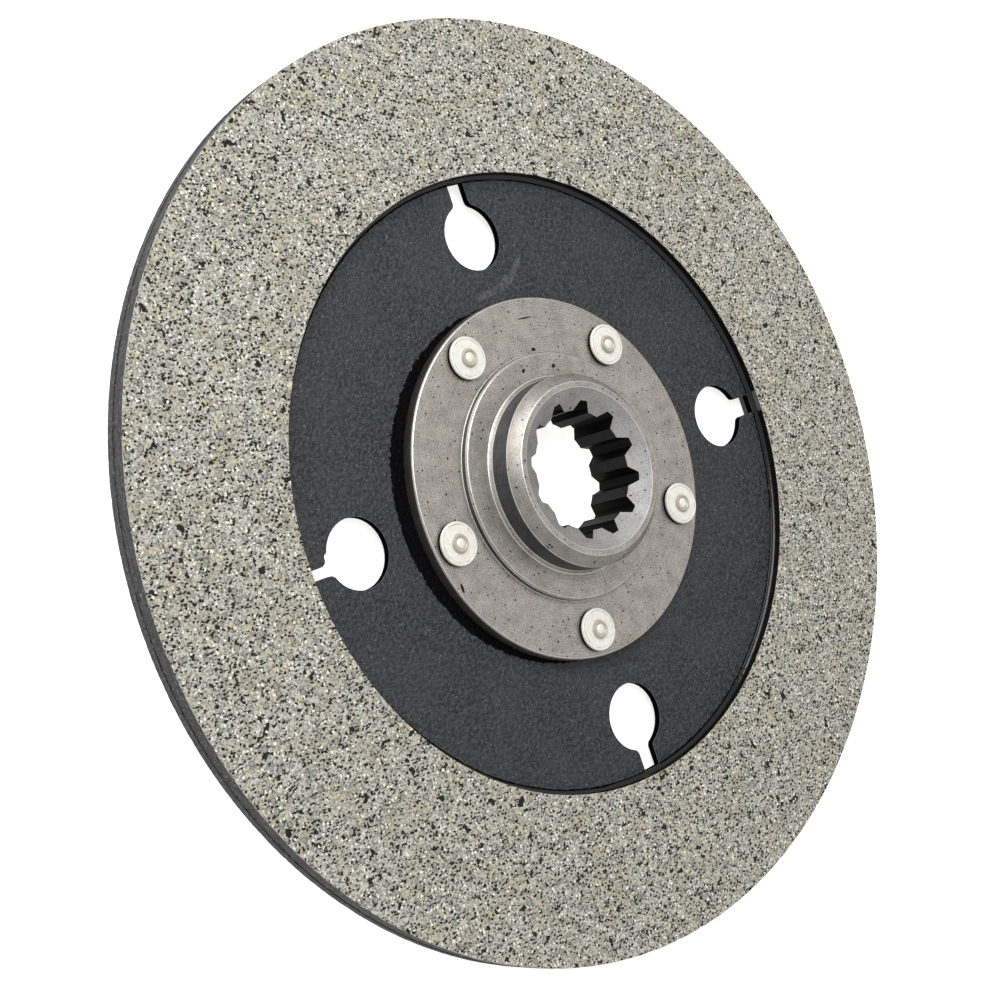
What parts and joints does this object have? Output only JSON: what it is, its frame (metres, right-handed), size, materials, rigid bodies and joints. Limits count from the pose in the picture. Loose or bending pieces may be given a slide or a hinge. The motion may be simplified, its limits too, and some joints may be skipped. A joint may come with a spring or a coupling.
{
  "type": "clutch disc",
  "caption": "Rigid clutch disc: a black steel plate with keyhole slots, a bonded friction ring on each side, and a riveted hub with a splined bore.",
  "frame": {"origin": "on the disc's axis at the rear friction ring's rear face, which is the lowest face", "axes": "+Z along the disc's axis towards the hub's boss; +X through the middle of one open keyhole; the keyhole whose slot is part closed is at -X"},
  "size_m": [0.2794, 0.2794, 0.0221],
  "materials": {
    "black_paint": "satin charcoal black paint on sheet steel, with a fine orange peel",
    "friction_compound": "moulded resin friction compound, ground flat: mottled grey beige with black pores, fibres and tan grains",
    "bonding_paint": "gloss black bead of bonding paint",
    "turned_steel": "warm grey turned steel with fine concentric lines and small dark pits",
    "zinc_plate": "off-white zinc plating, satin, with small brown stains"
  },
  "bodies": {
    "root": {"drive_plate": "black_paint", "front_facing": "friction_compound", "rear_facing": "friction_compound", "front_bond_bead": "bonding_paint", "rear_bond_bead": "bonding_paint", "splined_hub": "turned_steel", "hub_rivets": "zinc_plate"}
  },
  "joints": []
}
